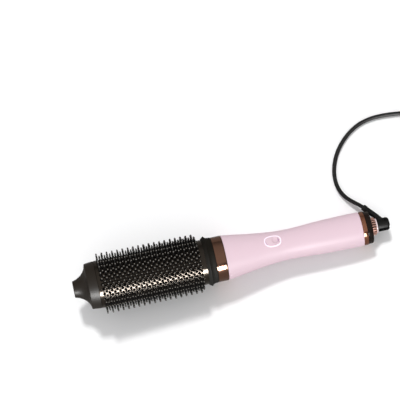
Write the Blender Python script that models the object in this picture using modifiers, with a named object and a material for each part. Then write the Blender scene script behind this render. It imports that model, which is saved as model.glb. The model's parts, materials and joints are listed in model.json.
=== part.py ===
"""A hot air brush: a round barrel of bristles on a slim handle, with a swivel cord.

Sizes are in millimetres and become metres where a mesh is made. The tool is drawn in its own frame,
with X along its axis from the flat nose (station 0) to the cord swivel. That frame is tilted
so the tool lies on a floor at Z = 0, on its rearmost bristles and its rear trim ring.
"""

import math

import bmesh
import bpy
import numpy as np
from mathutils import Matrix, Vector

MM = 0.001
GAP = 0.3  # clearance between pieces that touch

# Stations along the axis, from the nose.
FLARE_END = 16.5
BARREL_START = 27.0
BARREL_END = 149.0
GUARD_START = 147.5
GUARD_RIDGE = 151.0
GUARD_END = 158.0
COLLAR_END = 169.5
HANDLE_START = 170.0
HANDLE_END = 324.5
TRIM_END = 329.5
CAP_END = 335.7
CORD_COLLAR_END = 341.2
RIM_END = 343.0
TOOL_END = 357.0

# Radii.
NOSE_R = 9.2
FLARE_R = 25.2
BARREL_FRONT_R = 26.3
BARREL_REAR_R = 24.8
BARREL_WALL = 0.8
RIDGE_R = 28.0
BAND_R = 25.1
TRIM_R = 18.8
CAP_R = 18.3
CORD_COLLAR_R = 9.9
RIM_R = 8.2
SWIVEL_R = 7.2
SHAFT_R = 5.0
CORD_COLLAR_BORE = 5.4

# Outlines of turned pieces, as (station, radius) points.
FLARE_TAPER = 2.4
NOSE_SEAT_R = 25.05
NOSE_INSIDE = [(30, NOSE_SEAT_R), (30, 23.6), (19.5, 23.6), (18.2, 14.0), (11, 9.0), (3.5, 7.0), (3.5, 3.4),
               (12, 3.4), (12, 1.0), (6, 1.0), (6, 0)]
HUB = [(12.4, 1.1), (12.4, 3.2), (24, 3.2), (24, 23.2), (26, 23.2), (26, 1.1)]
HUB_WINDOWS = 4
NOSE_SCREW = [(7, 0), (7, 0.7), (26.3, 0.7), (26.3, 2.2), (28, 2.2), (28, 0)]
COLLAR_BORE = 22.5
TRIM_BORE = 16.6
CAP_BORE = 16.9
FUSE = [(205, 0), (205, 0.5), (208, 0.5), (208, 1.6), (216, 1.6), (216, 0.5), (220, 0.5), (220, 0)]
MOTOR_CAN = [(264, 1.4), (264, 12), (295.7, 12), (295.7, 11), (265.4, 11), (265.4, 1.4)]
MOTOR_SHAFT = [(262.5, 0), (262.5, 1), (315, 1), (315, 0)]
FAN_HUB = [(301, 1.3), (301, 5), (309, 5), (311.5, 3), (311.5, 1.3)]

# Plain rings inside, as (start, end, inner radius, outer radius).
STRIP_CARRIER = (30.6, 146.3, 19.4, 20.6)
COUPLING = (146.8, 171.6, 20.9, 22.2)
MICA_SLEEVE = (149, 204, 14.6, 15.4)
MOTOR_BELL = (296, 298, 1.4, 12)
MOTOR_MOUNT = (269, 275, 12.3, 14.0)
ARMATURE = (269, 290, 1.3, 9.8)
ARMATURE_SLOTS = 6
FILTER_SCREEN = (332.6, 333.4, 9.8, 16.4)
SLIP_DISC = (325, 326.4, 3, 12)
SWIVEL_CLIP = (330.6, 331.8, SHAFT_R + GAP, 7.8)

# Heater, fan and intake.
HEATER_START = 152.0
HEATER_END = 202.0
HEATER_R = 13.0
HEATER_TURNS = 6
HEATER_WIRE = 0.9
MICA_HALF_WIDTH = 11.4
MICA_HALF_THICK = 0.4
MICA_MIDDLE = 177.0
THERMOSTAT_R = 4.5
BLADES = 7
BLADE_STATION = 306.0
BLADE_PITCH = math.radians(38)
INTAKE_SLOTS = 12
RIBS = 18
RIB_VALLEY_R = 9.1

# The handle's outline, as (station, radius) points on a smooth curve.
HANDLE = [(170, 25.0), (187, 22.6), (209, 19.3), (226, 17.5), (242, 16.8),
          (258, 17.3), (281, 18.45), (308, 19.0), (324.5, 18.9)]
HANDLE_WALL = 2.0
CHASSIS_WALL = 1.3
CHASSIS_START = 172.0
CHASSIS_END = 323.0

# Bristles: ten strips of two rows, far fewer to a row than the real tool has.
STRIPS = 10
ROW_HALF_ANGLE = math.radians(9)
BRISTLE_START = 31.9
BRISTLE_STOP = 138.05
COLUMNS = 5
TIP_FRONT_R = 34.4
TIP_REAR_R = 33.5
STRIP_TOP_R = 23.0
STRIP_THICK = 2.0
STRIP_HALF_WIDTH = 5.2
STRIP_FROM = 30.6
STRIP_TO = 144.0
BRISTLE_BASE = 1.8
BRISTLE_TIP = 1.2
HOLE_SIZE = 2.6
BARREL_FLATS = 40

# Control button, on the side away from straight up.
BUTTON_TURN = math.radians(14.5)
BUTTON_STATION = 224.4
BUTTON_HALF = (8.0, 5.15)
LIGHT_HALF = (9.5, 6.75)
BUTTON_BASE = 13.3
BUTTON_RISE = 0.7
LIGHT_RISE = 0.25
BUTTON_STRETCH = (208.0, 240.0)
DIMPLE_R = 9.0
DIMPLE_HEIGHT = 16.9
DIMPLE_STEPS = 14

# Electronics below the button.
PCB_HEIGHT = 8.5
PCB_THICK = 1.2
PCB = (212.0, 250.0, 7.6)  # start, end and half width
SWITCH_SIDE = 3.0
SWITCH_RISE = 2.0
SINK_START = 230.0
FIN_COUNT = 5

# Screws that hold the two halves of the inner shell together.
SCREW_STATIONS = (256.0, 319.0)
SCREW_HEIGHT = -9.5
SCREW_HEAD = 8.2
SPLIT_GAP = 0.15

# Cord swivel: the arm folds back beside the handle about a pin across the axis.
SWIVEL_DROP = math.radians(18.4)
PIVOT_STATION = 352.5
PIVOT_OFFSET = 1.5
ARM_ANGLE = math.radians(53.2)  # between the arm and the tool's axis, at rest
ARM_LENGTH = 29.7
ARM_R = 2.9
ARM_END_R = 2.6
ARM_EYE_R = 4.0
SLOT_WIDTH = 6.4
SLOT_START = 344.2
PIN_R = 1.5
PIN_REACH = 6.5

# The tool lies on its rearmost bristle tips and its rear trim ring.
TIP_DROP = TIP_REAR_R * math.cos(ROW_HALF_ANGLE) + BRISTLE_TIP / 2 * math.sin(ROW_HALF_ANGLE)
TILT = math.atan((TIP_DROP - TRIM_R) / (TRIM_END - BRISTLE_STOP - BRISTLE_TIP / 2))
LIFT = TRIM_R * math.cos(TILT) + TRIM_END * math.sin(TILT)
LOW_X = -NOSE_R * math.sin(TILT)
HIGH_X = TOOL_END * math.cos(TILT) + 4.2 * math.sin(TILT)
TOOL_FRAME = (Matrix.Translation(Vector((-(LOW_X + HIGH_X) / 2, 0, LIFT)) * MM)
              @ Matrix.Rotation(TILT, 4, "Y"))

# The cord, in the world. Its route runs from the arm to the coil, as points on the floor.
CORD_D = 4.5
CORD_ROUTE = [(155.1, 24.3, 10.3), (151.0, 28.6, 9.1), (144.4, 34.9, 6.4), (138.2, 42.2, 4.0),
              (133.9, 51.0, 2.6), (132.0, 62.0, 2.25), (133.4, 75.0, 2.25), (138.5, 88.5, 2.25),
              (147.0, 101.0, 2.25), (158.4, 111.8, 2.25), (172.0, 119.6, 2.25), (187.0, 123.3, 2.25),
              (203.0, 123.6, 2.25), (220.0, 121.9, 2.25), (236.0, 120.4, 2.5), (243.0, 120.0, 2.8)]
COIL_CENTRE = (262.0, 85.0)
COIL_MEAN_R = 28.0
COIL_TURNS_WIDE = 4
COIL_TURNS_HIGH = 4
COIL_LIFT = 1.2
PLUG_X = COIL_CENTRE[0] + COIL_MEAN_R + 1.5 * CORD_D
PLUG_FACE_Y = 12.0
PLUG_LENGTH = 37.0
PLUG_HEIGHT = 17.0
PLUG_PIN_R = 2.4
PLUG_PIN_SPACING = 19.0
PLUG_PIN_LENGTH = 19.0

VISIBLE_STEPS = 32  # steps round a turned piece that shows
HIDDEN_STEPS = 24
SMOOTH_ANGLE = math.radians(35)
ALONG_X = Matrix.Rotation(math.pi / 2, 4, "Y")


def clear_scene():
    for obj in list(bpy.data.objects):
        bpy.data.objects.remove(obj)


def collection_named(name):
    made = bpy.data.collections.new(name)
    bpy.context.scene.collection.children.link(made)
    return made


def frame(name, matrix, parent=None):
    """An empty that pieces are parented to."""
    empty = bpy.data.objects.new(name, None)
    PARTS.objects.link(empty)
    empty.parent = parent
    empty.matrix_local = matrix
    bpy.context.view_layer.update()
    return empty


def material(name, colour, roughness, metallic=0.0, glow=0.0):
    made = bpy.data.materials.new(name)
    made.use_nodes = True
    shader = made.node_tree.nodes["Principled BSDF"]
    shader.inputs["Base Color"].default_value = (*colour, 1)
    shader.inputs["Roughness"].default_value = roughness
    shader.inputs["Metallic"].default_value = metallic
    shader.inputs["Emission Color"].default_value = (*colour, 1)
    shader.inputs["Emission Strength"].default_value = glow
    made.diffuse_color = (*colour, 1)
    return made


def place(name, mesh, parent, matrix=None):
    obj = bpy.data.objects.new(name, mesh)
    PARTS.objects.link(obj)
    obj.parent = parent
    obj.matrix_local = matrix or Matrix()
    bpy.context.view_layer.update()
    return obj


def from_bmesh(name, bm, parent, matrix=None):
    bmesh.ops.recalc_face_normals(bm, faces=bm.faces)
    mesh = bpy.data.meshes.new(name)
    bm.to_mesh(mesh)
    bm.free()
    return place(name, mesh, parent, matrix)


def settle(obj):
    """Replace an object's data by its evaluated mesh, with its faces pointing out."""
    bpy.context.view_layer.update()
    evaluated = obj.evaluated_get(bpy.context.evaluated_depsgraph_get())
    mesh = bpy.data.meshes.new_from_object(evaluated)
    bm = bmesh.new()
    bm.from_mesh(mesh)
    bmesh.ops.remove_doubles(bm, verts=bm.verts, dist=1e-6)
    bmesh.ops.recalc_face_normals(bm, faces=bm.faces)
    bm.to_mesh(mesh)
    bm.free()
    name, parent, matrix = obj.name, obj.parent, obj.matrix_local.copy()
    bpy.data.objects.remove(obj)
    mesh.name = name
    return place(name, mesh, parent, matrix)


def combine(obj, other, operation):
    """Cut, join or intersect obj with other, which is used up."""
    modifier = obj.modifiers.new(operation.lower(), "BOOLEAN")
    modifier.object = other
    modifier.operation = operation
    modifier.solver = "EXACT"
    done = settle(obj)
    bpy.data.objects.remove(other)
    return done


def cut(obj, other):
    return combine(obj, other, "DIFFERENCE")


def join(obj, other):
    return combine(obj, other, "UNION")


def turned(name, outline, parent, steps=HIDDEN_STEPS, start_angle=0.0, matrix=ALONG_X):
    """A solid turned about the axis. The outline lists (station, radius) round its section."""
    on_axis = outline[0][1] == 0 and outline[-1][1] == 0
    count = len(outline)
    edges = [(i, (i + 1) % count) for i in range(count - on_axis)]
    mesh = bpy.data.meshes.new(name)
    mesh.from_pydata([(r * MM, 0, s * MM) for s, r in outline], edges, [])
    obj = place(name, mesh, parent, matrix @ Matrix.Rotation(start_angle, 4, "Z"))
    screw = obj.modifiers.new("turn", "SCREW")
    screw.axis = "Z"
    screw.steps = screw.render_steps = steps
    screw.use_merge_vertices = True
    screw.merge_threshold = 1e-5
    return settle(obj)


def ring(name, start, end, inner, outer, parent, steps=HIDDEN_STEPS):
    return turned(name, [(start, inner), (start, outer), (end, outer), (end, inner)], parent, steps)


def box(name, low, high, parent, matrix=None):
    bm = bmesh.new()
    size = [(b - a) * MM for a, b in zip(low, high)]
    middle = Vector([(a + b) / 2 * MM for a, b in zip(low, high)])
    bmesh.ops.create_cube(bm, size=1, matrix=Matrix.Translation(middle) @ Matrix.Diagonal((*size, 1)))
    return from_bmesh(name, bm, parent, matrix)


def rod(name, radius, start, end, parent, end_radius=None, sides=24):
    """A cylinder or cone between two points."""
    a, b = Vector(start) * MM, Vector(end) * MM
    turn = (b - a).to_track_quat("Z", "Y").to_matrix().to_4x4()
    bm = bmesh.new()
    bmesh.ops.create_cone(bm, cap_ends=True, segments=sides, radius1=radius * MM,
                          radius2=(end_radius or radius) * MM, depth=(b - a).length,
                          matrix=Matrix.Translation((a + b) / 2) @ turn)
    return from_bmesh(name, bm, parent)


def prism(name, outline, low, high, parent, matrix=None):
    """An outline in the XY plane, extruded along Z from low to high."""
    bm = bmesh.new()
    face = bm.faces.new([bm.verts.new((x * MM, y * MM, low * MM)) for x, y in outline])
    grown = bmesh.ops.extrude_face_region(bm, geom=[face])["geom"]
    top = [v for v in grown if isinstance(v, bmesh.types.BMVert)]
    bmesh.ops.translate(bm, verts=top, vec=(0, 0, (high - low) * MM))
    return from_bmesh(name, bm, parent, matrix)


def oval(half_length, half_width, centre=(0, 0), power=2.5, count=28):
    """A rounded outline between an ellipse (power 2) and a rectangle."""
    points = []
    for i in range(count):
        c, s = math.cos(math.tau * i / count), math.sin(math.tau * i / count)
        x = math.copysign(abs(c) ** (2 / power), c) * half_length
        y = math.copysign(abs(s) ** (2 / power), s) * half_width
        points.append((centre[0] + x, centre[1] + y))
    return points


def smooth(points, count):
    """Points along a Catmull-Rom curve through the given ones, evenly spread."""
    given = np.array(points, float)
    ends = np.vstack([2 * given[0] - given[1], given, 2 * given[-1] - given[-2]])
    fine = []
    for i in range(len(given) - 1):
        p0, p1, p2, p3 = ends[i:i + 4]
        for t in np.linspace(0, 1, 24, endpoint=False):
            fine.append(0.5 * (2 * p1 + (p2 - p0) * t + (2 * p0 - 5 * p1 + 4 * p2 - p3) * t ** 2
                               + (3 * p1 - p0 - 3 * p2 + p3) * t ** 3))
    fine = np.array([*fine, given[-1]])
    along = np.concatenate([[0], np.cumsum(np.linalg.norm(np.diff(fine, axis=0), axis=1))])
    at = np.linspace(0, along[-1], count)
    return np.stack([np.interp(at, along, fine[:, k]) for k in range(given.shape[1])], axis=1)


def tube(name, points, diameter, parent, resolution=2):
    """A round tube along points, with closed ends."""
    curve = bpy.data.curves.new(name, "CURVE")
    curve.dimensions = "3D"
    curve.bevel_depth = diameter / 2 * MM
    curve.bevel_resolution = resolution
    curve.use_fill_caps = True
    spline = curve.splines.new("POLY")
    spline.points.add(len(points) - 1)
    for point, place_mm in zip(spline.points, points):
        point.co = (*(Vector(place_mm) * MM), 1)
    obj = bpy.data.objects.new(name, curve)
    PARTS.objects.link(obj)
    obj.parent = parent
    return settle(obj)


HANDLE_CURVE = smooth(HANDLE, 200)


def handle_radius(station):
    return float(np.interp(station, HANDLE_CURVE[:, 0], HANDLE_CURVE[:, 1]))


def handle_stations(start, end, count):
    return [start + (end - start) * i / (count - 1) for i in range(count)]


def handle_shell(name, start, end, outside, inside, steps=HIDDEN_STEPS, count=8):
    """A shell that follows the handle, between two depths below its surface."""
    stations = handle_stations(start, end, count)
    outer = [(s, handle_radius(s) - outside) for s in stations]
    inner = [(s, handle_radius(s) - inside) for s in reversed(stations)]
    return turned(name, outer + inner, TOOL, steps)


def barrel_radius(station):
    share = (station - BARREL_START) / (BARREL_END - BARREL_START)
    return BARREL_FRONT_R + (BARREL_REAR_R - BARREL_FRONT_R) * share


def flare(count=7):
    """The nose's concave flare: a quarter ellipse on a slight taper."""
    reach = FLARE_END - 0.5
    height = FLARE_R - NOSE_R - FLARE_TAPER
    points = []
    for i in range(count):
        share = math.sin(math.pi / 2 * i / (count - 1))
        rise = height * (1 - math.sqrt(max(0.0, 1 - share ** 2)))
        points.append((reach * share, NOSE_R + FLARE_TAPER * share + rise))
    return points


def nose():
    rim = BARREL_START - GAP
    outline = [(0, 0), *flare(), (FLARE_END, FLARE_R), (rim, BARREL_FRONT_R), (rim, NOSE_SEAT_R)]
    outline += NOSE_INSIDE
    tip = turned("nose_tip", outline, TOOL, VISIBLE_STEPS)
    hub = turned("nose_hub", HUB, TOOL)
    for i in range(HUB_WINDOWS):
        turn = Matrix.Rotation(math.tau * i / HUB_WINDOWS, 4, "X")
        hub = cut(hub, box("window", (22, 7, -3.5), (28, 19, 3.5), TOOL, turn))
    screw = turned("nose_screw", NOSE_SCREW, TOOL, 20)
    return {BLACK: [tip, hub], STEEL: [screw]}


def bristle_stations():
    return [BRISTLE_START + (BRISTLE_STOP - BRISTLE_START) * i / (COLUMNS - 1) for i in range(COLUMNS)]


def spikes(name, tops, base_size, top_size):
    """Square spikes at every bristle of one strip, with their tops at the front and rear radii."""
    bm = bmesh.new()
    base = STRIP_TOP_R - 1
    for side in (-1, 1):
        for station in bristle_stations():
            share = (station - BRISTLE_START) / (BRISTLE_STOP - BRISTLE_START)
            top = tops[0] + (tops[1] - tops[0]) * share
            turn = Matrix.Rotation(side * ROW_HALF_ANGLE, 4, "X")
            middle = Matrix.Translation(Vector((station, 0, (base + top) / 2)) * MM)
            square = Matrix.Rotation(math.pi / 4, 4, "Z")
            bmesh.ops.create_cone(bm, cap_ends=True, segments=4, radius1=base_size / math.sqrt(2) * MM,
                                  radius2=top_size / math.sqrt(2) * MM, depth=(top - base) * MM,
                                  matrix=turn @ middle @ square)
    return from_bmesh(name, bm, TOOL)


def barrel():
    wall = [(BARREL_START, BARREL_FRONT_R - BARREL_WALL), (BARREL_START, BARREL_FRONT_R),
            (BARREL_END, BARREL_REAR_R), (BARREL_END, BARREL_REAR_R - BARREL_WALL)]
    # One flat lies behind every row and one between rows, so a hole stays inside its flat.
    sleeve = turned("barrel_sleeve", wall, TOOL, BARREL_FLATS, math.pi / BARREL_FLATS)
    strip = box("strip", (STRIP_FROM, -STRIP_HALF_WIDTH, STRIP_TOP_R - STRIP_THICK),
                (STRIP_TO, STRIP_HALF_WIDTH, STRIP_TOP_R), TOOL)
    strip = join(strip, spikes("spikes", (TIP_FRONT_R, TIP_REAR_R), BRISTLE_BASE, BRISTLE_TIP))
    strips = []
    for i in range(STRIPS):
        turn = Matrix.Rotation(math.tau * i / STRIPS, 4, "X")
        holes = spikes("holes", (BARREL_FRONT_R + 2, BARREL_FRONT_R + 2), HOLE_SIZE, HOLE_SIZE)
        holes.matrix_local = turn
        sleeve = cut(sleeve, holes)
        strips.append(place(f"bristle_strip_{i + 1:02d}", strip.data, TOOL, turn))
    bpy.data.objects.remove(strip)
    carrier = ring("strip_carrier", *STRIP_CARRIER, TOOL, BARREL_FLATS)
    coupling = ring("coupling_tube", *COUPLING, TOOL)
    return {BRONZE: [sleeve], BRISTLE: strips, BLACK: [carrier, coupling]}


def collars():
    guard = turned("guard_ring", [(GUARD_START, BAND_R), (GUARD_START, 25.5), (GUARD_RIDGE - 1.2, 27.3),
                                  (GUARD_RIDGE, RIDGE_R), (GUARD_RIDGE + 1, 26.5), (GUARD_RIDGE + 3, 25.5),
                                  (GUARD_END, 25.2), (GUARD_END, COLLAR_BORE),
                                  (BARREL_END + GAP, COLLAR_BORE), (BARREL_END + GAP, BAND_R)],
                   TOOL, VISIBLE_STEPS)
    front = ring("front_collar", GUARD_END + GAP, COLLAR_END, COLLAR_BORE, BAND_R, TOOL, VISIBLE_STEPS)
    trim = turned("rear_trim_ring", [(HANDLE_END + GAP, TRIM_BORE), (HANDLE_END + GAP, 18.2),
                                     (HANDLE_END + 1, TRIM_R), (TRIM_END, TRIM_R), (TRIM_END, TRIM_BORE)],
                  TOOL, VISIBLE_STEPS)
    return {RUBBER: [guard], COPPER: [front, trim]}


def handle_surface(name, offset):
    """A solid inside the handle's surface moved outwards by offset, over the button's stretch."""
    start, end = BUTTON_STRETCH
    stations = handle_stations(start, end, 7)
    outline = [(start, 0), *[(s, handle_radius(s) + offset) for s in stations], (end, 0)]
    return turned(name, outline, TOOL, 48)


def button_prism(name, half, low, high):
    return prism(name, oval(*half, centre=(BUTTON_STATION, 0)), low, high, BUTTON_SIDE)


def handle():
    sleeve = handle_shell("handle_sleeve", HANDLE_START, HANDLE_END, 0, HANDLE_WALL, VISIBLE_STEPS, 10)
    opening = (LIGHT_HALF[0] + GAP, LIGHT_HALF[1] + GAP)
    sleeve = cut(sleeve, button_prism("opening", opening, 8, 25))
    light = button_prism("light_ring", LIGHT_HALF, BUTTON_BASE, 20)
    light = cut(light, button_prism("inside", (BUTTON_HALF[0] + GAP, BUTTON_HALF[1] + GAP), 10, 25))
    light = combine(light, handle_surface("surface", LIGHT_RISE), "INTERSECT")
    button = button_prism("power_button", BUTTON_HALF, BUTTON_BASE, 20)
    button = combine(button, handle_surface("surface", BUTTON_RISE), "INTERSECT")
    arc = [(DIMPLE_R * (1 - math.cos(a)), DIMPLE_R * math.sin(a))
           for a in np.linspace(0, math.pi, DIMPLE_STEPS)[1:-1]]
    dimple = turned("dimple", [(0, 0), *arc, (2 * DIMPLE_R, 0)], BUTTON_SIDE, VISIBLE_STEPS, 0,
                    Matrix.Translation(Vector((BUTTON_STATION + 3, 0, DIMPLE_HEIGHT)) * MM))
    button = cut(button, dimple)
    halves = []
    for name, side in (("chassis_left", -1), ("chassis_right", 1)):
        halves.append(chassis_half(name, side, opening))
    screws = [chassis_screw(f"chassis_screw_{i + 1}", s) for i, s in enumerate(SCREW_STATIONS)]
    return {PINK: [sleeve, button], LIGHT: [light], BLACK: halves, STEEL: screws}


def chassis_half(name, side, opening):
    """Half of the inner shell, split through the button, with a boss for each screw."""
    half = handle_shell(name, CHASSIS_START, CHASSIS_END, HANDLE_WALL + GAP,
                        HANDLE_WALL + GAP + CHASSIS_WALL)
    for station in SCREW_STATIONS:
        reach = math.sqrt((handle_radius(station) - 2.9) ** 2 - (abs(SCREW_HEIGHT) + 2) ** 2)
        boss = rod("boss", 2.6, (station, side * SPLIT_GAP, SCREW_HEIGHT),
                   (station, side * reach, SCREW_HEIGHT), BUTTON_SIDE, sides=16)
        half = join(half, boss)
        half = cut(half, rod("bore", 1.1, (station, -20, SCREW_HEIGHT), (station, 20, SCREW_HEIGHT),
                             BUTTON_SIDE, sides=12))
        if side > 0:
            half = cut(half, rod("head", 2.2, (station, SCREW_HEAD, SCREW_HEIGHT),
                                 (station, 20, SCREW_HEIGHT), BUTTON_SIDE, sides=16))
    half = cut(half, button_prism("opening", opening, 8, 25))
    keep = box("keep", (CHASSIS_START - 5, SPLIT_GAP, -40), (CHASSIS_END + 5, 40, 40), BUTTON_SIDE,
               Matrix.Rotation(0 if side > 0 else math.pi, 4, "X"))
    return combine(half, keep, "INTERSECT")


def chassis_screw(name, station):
    outline = [(-6.5, 0), (-6.5, 0.8), (SCREW_HEAD + GAP, 0.8), (SCREW_HEAD + GAP, 1.8),
               (SCREW_HEAD + 1.6, 1.8), (SCREW_HEAD + 1.6, 0)]
    across = (Matrix.Translation(Vector((station, 0, SCREW_HEIGHT)) * MM)
              @ Matrix.Rotation(-math.pi / 2, 4, "X"))
    return turned(name, outline, BUTTON_SIDE, 16, 0, across)


def electronics():
    start, end, half = PCB
    board_top = PCB_HEIGHT + PCB_THICK
    board = box("control_board", (start, -half, PCB_HEIGHT), (end, half, board_top), BUTTON_SIDE)
    switch_low = board_top + GAP
    switch = box("tact_switch", (BUTTON_STATION - SWITCH_SIDE, -SWITCH_SIDE, switch_low),
                 (BUTTON_STATION + SWITCH_SIDE, SWITCH_SIDE, switch_low + SWITCH_RISE), BUTTON_SIDE)
    well = rod("well", 1.6, (BUTTON_STATION, 0, 5), (BUTTON_STATION, 0, 15), BUTTON_SIDE, sides=16)
    switch = cut(switch, well)
    plunger = rod("switch_plunger", 1.3, (BUTTON_STATION, 0, switch_low + 0.9),
                  (BUTTON_STATION, 0, BUTTON_BASE - GAP), BUTTON_SIDE, sides=16)
    capacitor = rod("capacitor", 4.0, (213, 0, 3.9), (226, 0, 3.9), BUTTON_SIDE)
    fins = [(SINK_START + 18, PCB_HEIGHT - GAP), (SINK_START, PCB_HEIGHT - GAP)]
    for i in range(FIN_COUNT):
        left = SINK_START + i * 4
        fins += [(left, 0), (left + 2, 0)]
        if i < FIN_COUNT - 1:
            fins += [(left + 2, 6.2), (left + 4, 6.2)]
    upright = Matrix.Rotation(math.pi / 2, 4, "X")
    sink = prism("heatsink", fins, -5, 5, BUTTON_SIDE, upright)
    return {BOARD: [board], BLACK: [switch, capacitor], STEEL: [plunger, sink]}


def heater():
    start, end = HEATER_START, HEATER_END
    plates = []
    for name, low, high, turn in (("mica_plate_a", start - 1, MICA_MIDDLE + GAP, 0),
                                  ("mica_plate_b", MICA_MIDDLE - GAP, end + 1, math.pi / 2)):
        turned_by = Matrix.Rotation(turn, 4, "X")
        plate = box(name, (start, -MICA_HALF_WIDTH, -MICA_HALF_THICK),
                    (end, MICA_HALF_WIDTH, MICA_HALF_THICK), TOOL, turned_by)
        slot = box("slot", (low, -0.7, -2), (high, 0.7, 2), TOOL, turned_by)
        plates.append(cut(plate, slot))
    points = 9
    count = HEATER_TURNS * points
    helix = [(start + 3 + (end - start - 6) * i / count, HEATER_R * math.cos(math.tau * i / points),
              HEATER_R * math.sin(math.tau * i / points)) for i in range(count + 1)]
    coil = tube("heater_coil", helix, HEATER_WIRE, TOOL, 1)
    sleeve = ring("mica_sleeve", *MICA_SLEEVE, TOOL)
    stat = rod("thermostat", THERMOSTAT_R, (205, 0, -6), (208.5, 0, -6), TOOL, sides=20)
    fuse = turned("thermal_fuse", FUSE, TOOL, 16, 0,
                  Matrix.Translation(Vector((0, 7, -3)) * MM) @ ALONG_X)
    return {MICA: [*plates, sleeve], STEEL: [coil, stat], LIGHT: [fuse]}


def motor():
    can = turned("motor_can", MOTOR_CAN, TOOL)
    bell = ring("motor_end_bell", *MOTOR_BELL, TOOL)
    mount = ring("motor_mount", *MOTOR_MOUNT, TOOL)
    shaft = turned("motor_shaft", MOTOR_SHAFT, TOOL, 20)
    armature = ring("motor_armature", *ARMATURE, TOOL, VISIBLE_STEPS)
    for i in range(ARMATURE_SLOTS):
        turn = Matrix.Rotation(math.tau * i / ARMATURE_SLOTS, 4, "X")
        armature = cut(armature, box("slot", (260, 8, -0.9), (300, 12, 0.9), TOOL, turn))
    fan = turned("impeller", FAN_HUB, TOOL, 28)
    twist = Matrix.Rotation(BLADE_PITCH, 4, "Z")
    middle = Matrix.Translation((BLADE_STATION * MM, 0, 0))
    for i in range(BLADES):
        turn = Matrix.Rotation(math.tau * i / BLADES, 4, "X") @ middle @ twist
        fan = join(fan, box("blade", (-3, -0.5, 4.2), (3, 0.5, 13.2), TOOL, turn))
    return {STEEL: [can, shaft, armature], BLACK: [bell, fan], RUBBER: [mount]}


def rear_end():
    edge = [(CAP_END - 1.2 + 1.2 * math.sin(a), CAP_R - 1.2 + 1.2 * math.cos(a))
            for a in np.linspace(0, math.pi / 2, 3)]
    bore = CORD_COLLAR_BORE
    wall_end = CAP_END - 1.6
    cap = turned("end_cap", [(TRIM_END + GAP, CAP_BORE), (TRIM_END + GAP, CAP_R), *edge, (CAP_END, bore),
                             (wall_end, bore), (wall_end, CAP_BORE)], TOOL, VISIBLE_STEPS)
    for i in range(INTAKE_SLOTS):
        turn = Matrix.Rotation(math.tau * i / INTAKE_SLOTS, 4, "X")
        cap = cut(cap, box("slot", (332, -1.2, 11), (337, 1.2, 15.5), TOOL, turn))
    screen = ring("filter_screen", *FILTER_SCREEN, TOOL)
    disc = ring("slip_disc", *SLIP_DISC, TOOL)
    rib = ((0.0, RIB_VALLEY_R), (0.22, CORD_COLLAR_R), (0.72, CORD_COLLAR_R), (0.94, RIB_VALLEY_R))
    ribs = []
    for i in range(RIBS):
        for share, radius in rib:
            angle = math.tau * (i + share) / RIBS
            ribs.append((radius * math.cos(angle), radius * math.sin(angle)))
    collar = prism("cord_collar", ribs, CAP_END + GAP, CORD_COLLAR_END, TOOL, ALONG_X)
    collar = cut(collar, rod("bore", bore, (330, 0, 0), (345, 0, 0), TOOL, sides=40))
    rim = turned("collar_rim", [(CORD_COLLAR_END + GAP, bore), (CORD_COLLAR_END + GAP, RIM_R - 0.4),
                                (CORD_COLLAR_END + 0.8, RIM_R), (RIM_END - 0.4, RIM_R),
                                (RIM_END, RIM_R - 0.4), (RIM_END, bore)], TOOL)
    return {GLOSS: [cap], BLACK: [screen], BOARD: [disc], COPPER: [collar], PINK: [rim]}


def arm_direction():
    return Vector((-math.cos(ARM_ANGLE), math.sin(ARM_ANGLE), 0))


def swivel():
    end = [(TOOL_END - 3 + 3 * math.sin(a), SWIVEL_R - 3 + 3 * math.cos(a))
           for a in np.linspace(0, math.pi / 2, 5)]
    fork = turned("swivel_fork", [(329.3, 0), (329.3, SHAFT_R), (RIM_END + GAP, SHAFT_R),
                                  (RIM_END + GAP, SWIVEL_R), *end, (TOOL_END, 0)], SWIVEL)
    half_slot = SLOT_WIDTH / 2
    pivot = Vector((PIVOT_STATION, PIVOT_OFFSET, 0))
    up = Vector((0, 0, 1))
    eye = half_slot - GAP
    fork = cut(fork, box("slot", (SLOT_START, -20, -half_slot), (370, 20, half_slot), SWIVEL))
    fork = cut(fork, rod("bore", PIN_R + GAP, pivot - 20 * up, pivot + 20 * up, SWIVEL))
    clip = ring("swivel_clip", *SWIVEL_CLIP, SWIVEL)
    pin = rod("pivot_pin", PIN_R, pivot - PIN_REACH * up, pivot + PIN_REACH * up, SWIVEL)
    arm = rod("cord_arm", ARM_EYE_R, pivot - eye * up, pivot + eye * up, SWIVEL)
    arm = join(arm, rod("boom", ARM_R, pivot, pivot + arm_direction() * ARM_LENGTH, SWIVEL, ARM_END_R))
    arm = cut(arm, rod("bore", PIN_R + GAP, pivot - 9 * up, pivot + 9 * up, SWIVEL))
    return {BLACK: [fork, arm], STEEL: [clip, pin]}


def cord():
    """The cord as one tube to a round coil, then the plug beside the coil."""
    lead = tube("mains_cord", smooth(CORD_ROUTE, 44), CORD_D, None)
    width = COIL_TURNS_WIDE * CORD_D / 2
    low, high = COIL_LIFT, COIL_LIFT + COIL_TURNS_HIGH * CORD_D
    inner, outer = COIL_MEAN_R - width, COIL_MEAN_R + width
    upright = Matrix.Translation(Vector((*COIL_CENTRE, 0)) * MM)
    coil = turned("cord_coil", [(low, inner + 2), (low, outer - 2), (low + 2, outer), (high - 2, outer),
                                (high, outer - 2), (high, inner + 2), (high - 2, inner), (low + 2, inner)],
                  None, 32, 0, upright)
    tie_side = upright @ Matrix.Rotation(math.radians(200), 4, "Z")
    tie = box("cord_tie", (inner - 2.2, -5, 0.1), (outer + 1.2, 5, high + 1.2), None, tie_side)
    inside = box("inside", (inner - 1.2, -9, low - GAP), (outer + GAP, 9, high + GAP), None, tie_side)
    tie = cut(tie, inside)
    return {BLACK: [lead, coil, tie]}


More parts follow.
